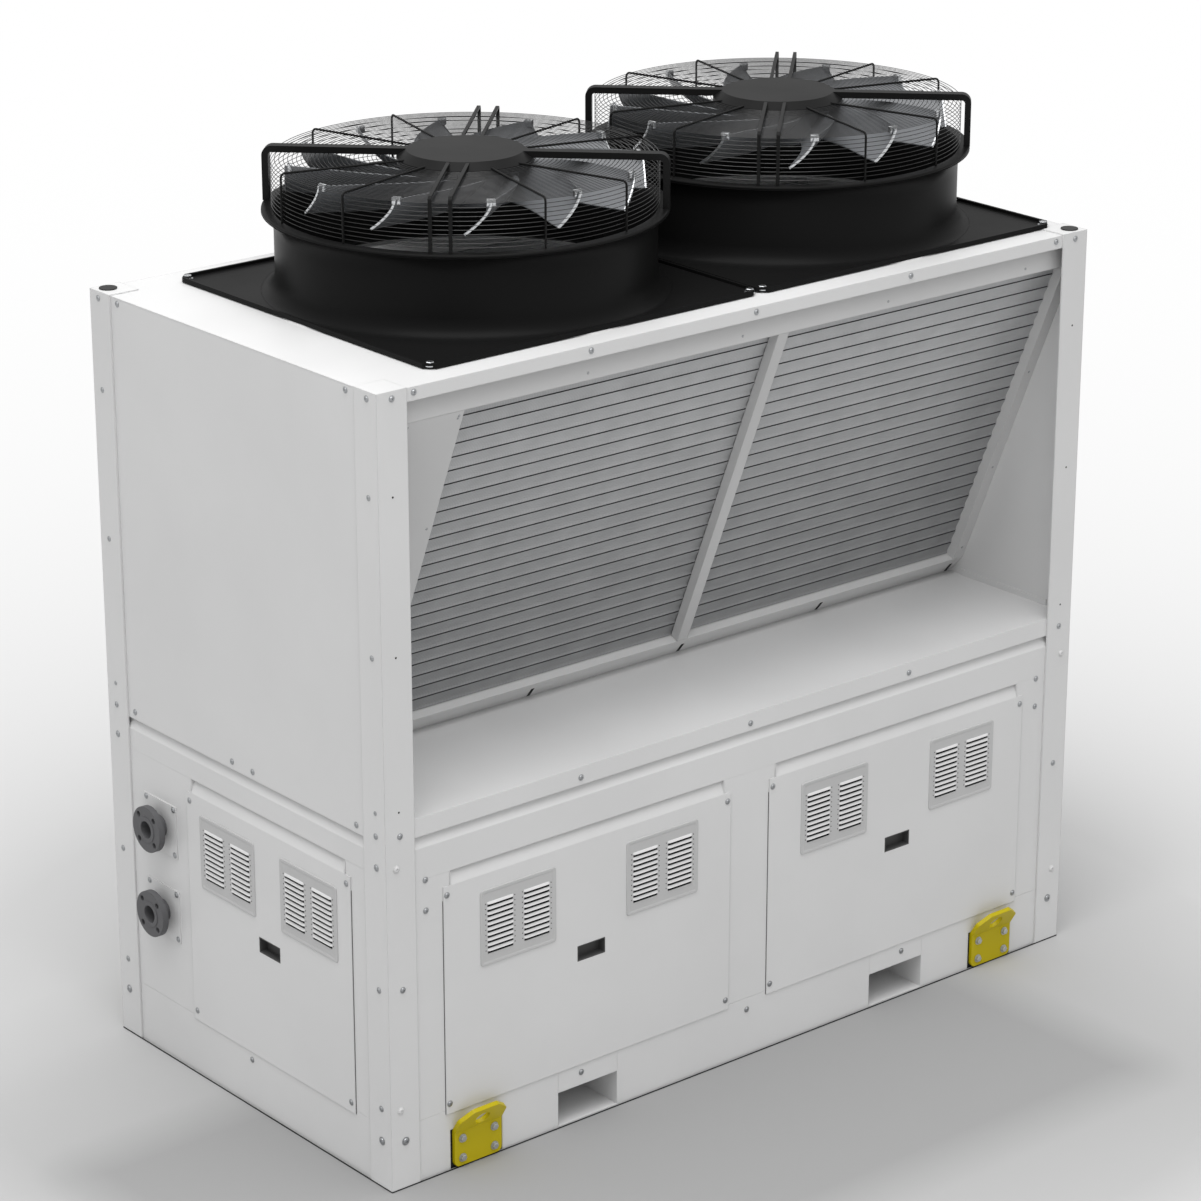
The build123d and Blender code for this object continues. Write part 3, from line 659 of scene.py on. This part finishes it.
def ventSets():
    # One vent, repeated along each side and then set on its face
    rim, plate, blades = ventRim(), ventPlate(), ventBlades()
    # Painted shade: a near-black sheet behind the slots, where the inside of the unit lies in
    # shade
    slot_shade = plateShape(roundedOutline(*vent["slot_shade"]), [(0, depth) for depth in vent["slotShadeDepths"]],
                      (0, 0, 0), (1, 0, 0), (0, 0, -1))
    for side in ("front", "back", "end"):
        where = vent["end" if side == "end" else "front"]
        height = vent["endHeight" if side == "end" else "frontHeight"]
        spots = [(a, 0, height) for a in where]
        for part, shapes, material in (("frames", [rim, plate], louvreShadePaint),
                                       ("blades", [blades], bladeLitPaint),
                                       ("end_shades", [ventEndShades()], gapShadePaint),
                                       ("slot_shade", [slot_shade], slotShadeBlack)):
            points, faces = repeated(joined(shapes), spots)
            piece = makePiece("vent_" + part + "_" + side, (sidePoints(points, side), faces),
                              material)
            if part == "frames":
                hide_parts("vents_" + side)


ventSets()
print("vents made")


# Coils: a lean in degrees, the lower edge in y and z, and how far the face and the back lie
# inside the frame. A row of fins is (inwards, up), and rowEnd is left below the next row
coilFrame = {"lean": 22.2, "edgeY": 0.1924, "edgeZ": 1.05, "length": 1.0239, "rows": 24,
             "inset": 0.028, "deep": 0.094, "left": -0.913, "right": 1.153,
             "row": [(0.0058, -0.0016), (0.0058, 0.0020), (0.0002, 0.0024), (0.0030, 0.0072),
                     (0.0036, 0.0130), (0.0022, 0.0270)], "rowEnd": 0.0018}


def onFrame(across, up):
    # (y, z) of the front coil: up along the lean from its lower edge, across inwards
    tilt = math.radians(coilFrame["lean"])
    return np.stack([-coilFrame["edgeY"] - up * math.sin(tilt) + across * math.cos(tilt),
                     coilFrame["edgeZ"] + up * math.cos(tilt) + across * math.sin(tilt)], -1)


def coilRows(side):
    # Each row of fins is a little hollow, and its lower edge turns out and catches the light;
    # a groove parts the rows
    c = coilFrame
    pitch = c["length"] / c["rows"]
    section = np.array([*c["row"], (0.0, pitch - c["rowEnd"])])
    up = np.arange(c["rows"])[:, None] * pitch + section[None, :, 1]
    up = np.clip(up, 0, c["length"]).ravel()
    across = np.tile(section[:, 0], c["rows"]) + c["inset"]
    front = onFrame(across, up)
    back = onFrame(np.full_like(across, c["deep"]), up)
    if side == "back":
        front = front * (-1, 1)
        back = back * (-1, 1)
    points, faces = slabShape(front, back, c["left"], c["right"])
    first = np.arange(len(faces))
    step = first % len(section)
    # Painted shadow: the groove's faces take the near-black gap material
    groove = (first < len(front) - 1) & ((step < 2) | (step == len(section) - 1))
    piece = makePiece("coil_rows_" + side, (points, faces), coilMetal,
                      sharp=28, second=(coilShadow, groove))
    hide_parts("coil_" + side)


# Slots as outlines in the sloping foot, rivets as (x, up the lean); heads turned from rivet
frameMark = {"foot": (-0.14, 0.995), "slotUp": 0.026, "slotX": (-0.381, 0.143, 0.657, 1.165),
             "slot": [(0.0, -0.021), (0.010, -0.021), (0.004, 0.021), (-0.006, 0.021)],
             "slotProud": 0.0005, "slotHalf": 0.0004,
             "rivets": [(-1.081, 1.01), (-0.9257, 1.01), (-0.9276, 1.003), (-0.93, 0.664),
                        (-0.93, 0.33), (-0.93, 0.04), (1.172, 1.003), (1.172, 0.664),
                        (1.172, 0.33), (1.172, 0.04)],
             "headX": (-0.529, -0.02, 0.49, 1.0), "headUp": 0.019,
             "rivet": [(0.0038, -0.0003), (0.0036, 0.0008), (0.002, 0.0016), (0, 0.0018)]}


def frameDetails():
    # Slots in the foot of the coil frame, drawn as dark plates of painted shade, at foot + rise *
    # distance towards the lower edge, and rivets in the blank and the head
    m = frameMark
    tilt = math.radians(coilFrame["lean"])
    foot = np.array(m["foot"])
    rise = np.array([-coilFrame["edgeY"], coilFrame["edgeZ"]]) - foot
    rise /= np.linalg.norm(rise)
    middle = foot + rise * m["slotUp"]
    layers = [(0, -m["slotHalf"]), (0, m["slotHalf"])]
    slots, rivets = [], []
    for mirror in (1, -1):
        upward = (0, mirror * rise[0], rise[1])
        normal = np.array([0, -mirror * rise[1], rise[0]])
        for x in m["slotX"]:
            place = np.array([x, mirror * middle[0], middle[1]]) + normal * m["slotProud"]
            slots.append(plateShape(m["slot"], layers, place, (mirror, 0, 0), upward))
        out = (0, -mirror * math.cos(tilt), -math.sin(tilt))
        for x, up in m["rivets"]:
            y, z = onFrame(0.0, up)
            rivets.append(((x, mirror * y, z), out))
        y, z = onFrame(0.0, coilFrame["length"])
        rivets += [((x, mirror * y, z + m["headUp"]), (0, -mirror, 0)) for x in m["headX"]]
    makePiece("frame_slots", joined(slots), gapShadePaint)
    heads = [turned(m["rivet"], place, 10, normal) for place, normal in rivets]
    makePiece("frame_rivets", joined(heads), zincPlate)


coilRows("front")
coilRows("back")
frameDetails()
print("coils made")


# Fan nozzles: radii and heights over the roof
bell = {"footRadius": 0.526, "radius": 0.490, "wall": 0.004, "footRise": 0.055, "height": 0.221,
        "flareStart": 0.162, "lip": 0.521, "lipWidth": 0.028, "lipThick": 0.009,
        "lipRoll": 0.0045, "steps": 96}


def bellShell(side):
    # Elliptic flare at the foot, straight throat, rolled lip; turned about the fan axis
    b = bell
    a = np.linspace(0, np.pi / 2, 11)
    spread = b["footRadius"] - b["radius"]
    under = b["height"] - b["lipThick"]
    foot = np.stack([b["footRadius"] - spread * np.cos(a[::-1]),
                     b["wall"] + (b["footRise"] - b["wall"]) * (1 - np.sin(a[::-1]))], -1)
    outer = np.stack([b["lip"] - (b["lip"] - b["radius"]) * np.cos(a),
                      b["flareStart"] + (under - b["flareStart"]) * np.sin(a)], -1)
    roll = np.linspace(-np.pi / 2, np.pi / 2, 7)[1:]
    lip = np.stack([b["lip"] - b["lipRoll"] + b["lipRoll"] * np.cos(roll),
                    b["height"] - b["lipRoll"] + b["lipRoll"] * np.sin(roll)], -1)
    rim = np.array([(b["lip"] - b["lipWidth"], b["height"]),
                    (b["radius"] - b["wall"], under)])
    inner = np.stack([b["footRadius"] - (spread + b["wall"]) * np.cos(a),
                      b["footRise"] * (1 - np.sin(a))], -1)
    profile = np.vstack([foot, outer, lip, rim, inner])
    shape = turned(profile, (fans[side], 0, fanBase), b["steps"], closed=True)
    piece = makePiece("fan_nozzle_" + side, shape, blackPaint, sharp=50)
    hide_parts("fan_bell_" + side)


# Rotors: the three numbers of a turn or a height are what it is at the root, its slope and
# its bend along the blade, in degrees and in metres over the roof; hub is (radius, height)
rotor = {"blades": 12, "rootRadius": 0.134, "tipRadius": 0.4585, "thick": 0.0035,
         "topTurn": (46, -70, 24), "footTurn": (14, -37.6, 15.2), "hollow": 0.7,
         "topHeight": (0.316, 0.047, -0.026), "footHeight": (0.246, 0.006, 0.004),
         "hub": [(0.02008, 0.238), (0.130, 0.238), (0.138, 0.241), (0.140, 0.248),
                 (0.140, 0.314), (0.138, 0.321), (0.131, 0.324), (0.02008, 0.324)]}

# Bright strip on a blade's outer edge, in shares of the radius, and the block at its top
tip = {"inwards": 0.006, "outwards": 0.002, "thick": 0.0056, "blockIn": 0.012,
       "blockDown": 0.0045, "block": (0.0115, 0.0055, 0.002),
       "blockLayers": [(0.12, -0.009), (0, -0.008), (0, 0.008), (0.12, 0.009)]}


def alongBlade(u, terms):
    # First + second * u + third * u squared
    return terms[0] + terms[1] * u + terms[2] * u ** 2


def bladeGrid():
    # Radius grows with u, and the height runs evenly from the top edge to the foot edge by v.
    # The angle does so by v ^ (1 + hollow * u), which hollows the blade towards its tip
    r = rotor
    u, v = np.meshgrid(np.linspace(0, 1, 15), np.linspace(0, 1, 11), indexing="ij")
    radius = r["rootRadius"] + (r["tipRadius"] - r["rootRadius"]) * u
    topAngle = alongBlade(u, r["topTurn"])
    footAngle = alongBlade(u, r["footTurn"])
    angle = np.radians(topAngle + (footAngle - topAngle) * v ** (1 + r["hollow"] * u))
    top = alongBlade(u, r["topHeight"])
    foot = alongBlade(u, r["footHeight"])
    return radius, angle, fanBase + top + (foot - top) * v


def rotorParts(side):
    # The blade's grid turned about the fan axis once for each blade: x = radius * cos(angle +
    # turn), y = radius * sin(angle + turn)
    radius, angle, height = bladeGrid()
    turns = np.radians(np.arange(rotor["blades"]) * 360 / rotor["blades"])
    axis = np.array([fans[side], 0, 0])
    blades, strips, blocks = [], [], []
    for turn in turns:
        grid = np.stack([fans[side] + radius * np.cos(angle + turn),
                         radius * np.sin(angle + turn), height], -1)
        blades.append(sheetShape(grid, rotor["thick"]))
        edge = grid[-1]
        inner = edge + (edge - axis) * (-tip["inwards"], -tip["inwards"], 0)
        outer = edge + (edge - axis) * (tip["outwards"], tip["outwards"], 0)
        strips.append(sheetShape(np.stack([inner, outer]), tip["thick"]))
        radial = (edge[0] - axis) * (1, 1, 0) / rotor["tipRadius"]
        spot = edge[0] - radial * tip["blockIn"] - (0, 0, tip["blockDown"])
        level = np.cross((0, 0, 1), radial)
        blocks.append(plateShape(roundedOutline(*tip["block"], 3), tip["blockLayers"],
                                 spot, level, -radial))
    hub = turned(rotor["hub"], (fans[side], 0, fanBase), 64, closed=True)
    piece = makePiece("rotor_blades_" + side, joined(blades + [hub]), bladePaint, "fan_" + side,
                      sharp=45)
    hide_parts("rotor_" + side)
    makePiece("rotor_tips_" + side, joined(strips + blocks), tipMetal, "fan_" + side)


plateBolt = {"reach": 0.513, "level": 0.004, "size": 1.15}


def fanBolts():
    # One bolt at each corner of both fan plates: axis +- reach both ways
    b = plateBolt
    spots = [(fans[side] + sx * b["reach"], sy * b["reach"], fanBase + b["level"])
             for side in fans for sx in (-1, 1) for sy in (-1, 1)]
    heads = [hexHead(place, (0, 0, 1), b["size"]) for place in spots]
    makePiece("fan_plate_bolts", joined(heads), brightZinc)


for side in fans:
    bellShell(side)
    rotorParts(side)
fanBolts()
print("fans made")


# Lifting lugs: gap is how far the painted shade shows round the plate
lug = {"place": 0.926, "width": 0.152, "foot": 0.005, "height": 0.099, "gap": 0.0075,
       "recessY": 0.6035, "thick": 0.012, "boltX": 0.0515, "boltZ": 0.0275, "boltSize": 0.95,
       "recessShadeFoot": 0.0006, "recessShadeProud": 0.0002, "recessShadeThick": 0.0012, "recessShadeCorner": 0.0005}


def lugDetails():
    # Painted shade: a dark sheet in the recess round each plate, where the gap lies in shade, and
    # four bolts through it
    g = lug
    half = g["width"] / 2 + g["gap"]
    top = g["foot"] + g["height"] + g["gap"]
    outline = roundedOutline(half, (top - g["recessShadeFoot"]) / 2, g["recessShadeCorner"], 2)
    recessShades, bolts = [], []
    for side in (-1, 1):
        for face in (-1, 1):
            place = (side * g["place"], face * (g["recessY"] + g["recessShadeProud"]),
                     (top + g["recessShadeFoot"]) / 2)
            recessShades.append(plateShape(outline, [(0, 0), (0, g["recessShadeThick"])], place,
                                   (-face, 0, 0), (0, 0, 1)))
            for dx in (-g["boltX"], g["boltX"]):
                for dz in (-g["boltZ"], g["boltZ"]):
                    place = (side * g["place"] + dx, face * (g["recessY"] + g["thick"]),
                             g["foot"] + g["height"] / 2 + dz)
                    bolts.append(hexHead(place, (0, face, 0), g["boltSize"]))
    makePiece("lug_recess_shade", joined(recessShades), gapShadePaint)
    makePiece("lug_bolts", joined(bolts), brightZinc)


contactShade = {"radius": 0.0015, "height": 0.0016, "out": 0.00036, "corner": 0.0006}


def baseContactShade():
    # Painted shadow: a black strip 3 mm high under the lower edge, along the front, the back and
    # the left end, for the contact shadow on the floor; straight tubes whose middle lies just
    # outside the base
    z = contactShade["height"]
    strips = []
    for y in (-halfDepth - contactShade["out"], halfDepth + contactShade["out"]):
        line = [(x, y, z) for x in (-halfLength - contactShade["corner"], 0, halfLength)]
        strips.append(tube(line, contactShade["radius"]))
    line = [(-halfLength - contactShade["out"], y, z) for y in (-halfDepth, 0, halfDepth)]
    strips.append(tube(line, contactShade["radius"]))
    makePiece("base_contact_shade", joined(strips), gapShadePaint)


lugDetails()
baseContactShade()
print("lugs finished")


# Stage, light and camera: metres and degrees, and the floor's colour, a painted shadow, by its
# distance
studio = {"floorSize": 60.0, "whiteFrom": 1.8, "whiteReach": 1.54, "floorBounce": "#c6c6c6",
          "rampReach": 2.0,
          "floorPaintedShadow": [(0.0, "#9c9c9c"), (0.2, "#b0b0b0"), (0.5, "#b6b6b6"), (1.0, "#c6c6c6"),
                        (1.6, "#c7c7c7")], "shadeMiddle": (-0.485, -0.679, 0.0),
          "horizonLevel": 0.42, "zenithLevel": 1.1, "softboxPlace": (-1.9, -1.7, 8.0),
          "softboxAim": (0.0, 0.0, 1.5), "softboxSize": 6.0, "softboxPower": 420.0,
          "camera": (-6.3565, -7.6066, 4.7372), "azimuth": -39.8591, "elevation": 19.9492,
          "lens": 116.217, "sensor": 36.0}


def paleFloor():
    # Pale floor: darker close to the unit as painted shadow, white far away, in the view and in
    # mirrors alike. Its painted shadow runs with the distance to the footprint, moved a little to
    # the front left where the shade is deepest: |max(|p - middle| - half size, 0)|
    bpy.ops.mesh.primitive_plane_add(size=studio["floorSize"])
    floor = bpy.context.object
    floor.name = "studio_floor"
    material, tree, shader, place = newMaterial("paleStudioFloor")
    away = place
    for operation, other in (("SUBTRACT", studio["shadeMiddle"]), ("ABSOLUTE", (0, 0, 0)),
                             ("SUBTRACT", (halfLength, halfDepth, 0)), ("MAXIMUM", (0, 0, 0))):
        away = addNode(tree, "ShaderNodeVectorMath", {0: away, 1: other},
                       operation=operation).outputs["Vector"]
    away, fade = [addNode(tree, "ShaderNodeVectorMath", {0: socket},
                          operation="LENGTH").outputs["Value"] for socket in (away, place)]
    share = addNode(tree, "ShaderNodeMath", {0: away, 1: studio["rampReach"]},
                    operation="DIVIDE").outputs[0]
    # Painted shadow on the floor, deepest near the unit
    ramp = addNode(tree, "ShaderNodeValToRGB", {"Fac": share},
                   stops=[(distance / studio["rampReach"], linear(colour))
                          for distance, colour in studio["floorPaintedShadow"]])
    # White far away: share = 1 - exp(-(distance - whiteFrom) / whiteReach)
    for operation, other in (("SUBTRACT", studio["whiteFrom"]), ("MAXIMUM", 0.0),
                             ("DIVIDE", -studio["whiteReach"]), ("EXPONENT", 0.0),
                             ("MULTIPLY", -1.0), ("ADD", 1.0)):
        fade = addNode(tree, "ShaderNodeMath", {0: fade, 1: other}, operation=operation).outputs[0]
    rays = addNode(tree, "ShaderNodeLightPath")
    seen = rays.outputs["Is Camera Ray"]
    for kind in ("Is Glossy Ray", "Is Transmission Ray"):
        seen = addNode(tree, "ShaderNodeMath", {0: seen, 1: rays.outputs[kind]},
                       operation="MAXIMUM").outputs[0]
    fade = addNode(tree, "ShaderNodeMath", {0: seen, 1: fade}, operation="MULTIPLY").outputs[0]
    shade = addNode(tree, "ShaderNodeMix", {"Factor": seen, 6: linear(studio["floorBounce"]),
                                            7: ramp.outputs["Color"]}, data_type="RGBA")
    tree.links.new(shade.outputs[2], shader.inputs["Base Color"])
    shader.inputs["Roughness"].default_value = 0.9
    shader.inputs["Specular IOR Level"].default_value = 0.0
    white = addNode(tree, "ShaderNodeEmission", {"Color": (1, 1, 1, 1), "Strength": 1.0})
    mixed = addNode(tree, "ShaderNodeMixShader", {0: fade, 1: shader.outputs["BSDF"],
                                                  2: white.outputs["Emission"]})
    output = next(n for n in tree.nodes if n.type == "OUTPUT_MATERIAL")
    tree.links.new(mixed.outputs[0], output.inputs["Surface"])
    floor.data.materials.append(material)


def overheadSoftbox():
    # One large square lamp over the front left, turned towards the middle of the unit
    light = bpy.data.lights.new("overheadSoftbox", "AREA")
    light.size = studio["softboxSize"]
    light.energy = studio["softboxPower"]
    lamp = bpy.data.objects.new("overheadSoftbox", light)
    lamp.location = studio["softboxPlace"]
    aim = Vector(studio["softboxAim"]) - lamp.location
    lamp.rotation_euler = aim.to_track_quat("-Z", "Y").to_euler()
    bpy.context.scene.collection.objects.link(lamp)


def softDome():
    # Soft light from all round, its level rising with the sine of the height above the horizon
    world = bpy.data.worlds.new("studioDome")
    bpy.context.scene.world = world
    world.use_nodes = True
    tree = world.node_tree
    tree.nodes.clear()
    output = addNode(tree, "ShaderNodeOutputWorld")
    ray = addNode(tree, "ShaderNodeTexCoord").outputs["Generated"]
    parts = addNode(tree, "ShaderNodeSeparateXYZ", {"Vector": ray})
    level = addNode(tree, "ShaderNodeMapRange", {"Value": parts.outputs["Z"], "From Min": 0.0,
                                                 "From Max": 1.0,
                                                 "To Min": studio["horizonLevel"],
                                                 "To Max": studio["zenithLevel"]})
    grey = addNode(tree, "ShaderNodeBackground", {"Color": (1, 1, 1, 1),
                                                  "Strength": level.outputs["Result"]})
    tree.links.new(grey.outputs[0], output.inputs["Surface"])


def photoCamera():
    # The photograph's own viewpoint, worked out from the casing's straight edges
    data = bpy.data.cameras.new("photoCamera")
    data.lens = studio["lens"]
    data.sensor_width = studio["sensor"]
    camera = bpy.data.objects.new("photoCamera", data)
    camera.location = studio["camera"]
    camera.rotation_euler = (math.radians(90 - studio["elevation"]), 0,
                             math.radians(studio["azimuth"]))
    bpy.context.scene.collection.objects.link(camera)
    bpy.context.scene.camera = camera


paleFloor()
overheadSoftbox()
softDome()
photoCamera()
bpy.context.scene.view_settings.view_transform = "Standard"
print("stage and camera set")
